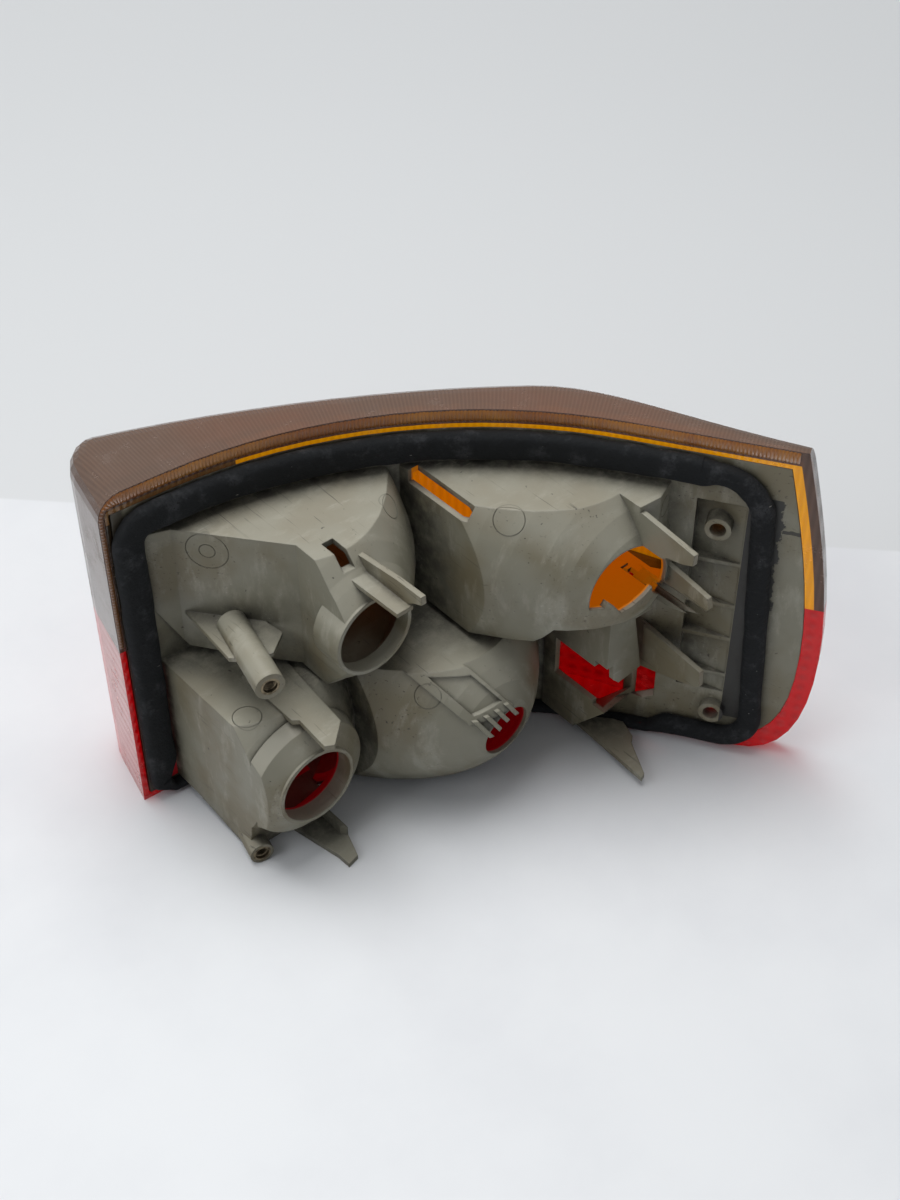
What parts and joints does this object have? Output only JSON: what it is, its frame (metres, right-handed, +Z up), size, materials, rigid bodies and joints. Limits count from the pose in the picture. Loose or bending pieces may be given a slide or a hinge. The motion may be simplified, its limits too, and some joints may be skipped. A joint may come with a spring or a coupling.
{
  "type": "tail light cluster",
  "caption": "Rear corner lamp of a car: smoked, amber and red lens that wraps round the corner, reflector bowls with open bulb holes, foam gasket and rear fixings.",
  "frame": {"origin": "middle of the bounding box's bottom face, on the surface that the lamp stands on", "axes": "+Z up, +X along the car's tail towards its side, -Y out of the bulb openings into the car"},
  "size_m": [0.2004, 0.1758, 0.138],
  "materials": {
    "housing": "moulded, satin, aged",
    "lens_smoke": "smoked, fluted inside, glossy outside",
    "lens_amber": "amber, prismatic",
    "lens_clear": "clear, prismatic",
    "lens_red": "red, glossy outside",
    "gasket": "closed-cell foam, scuffed",
    "insert": "dulled, knurled"
  },
  "bodies": {
    "root": {"housing": "housing", "lens_smoke": "lens_smoke", "lens_amber": "lens_amber", "lens_clear": "lens_clear", "lens_red": "lens_red", "gasket": "gasket", "insert_upper": "insert", "insert_lower": "insert"}
  },
  "joints": []
}
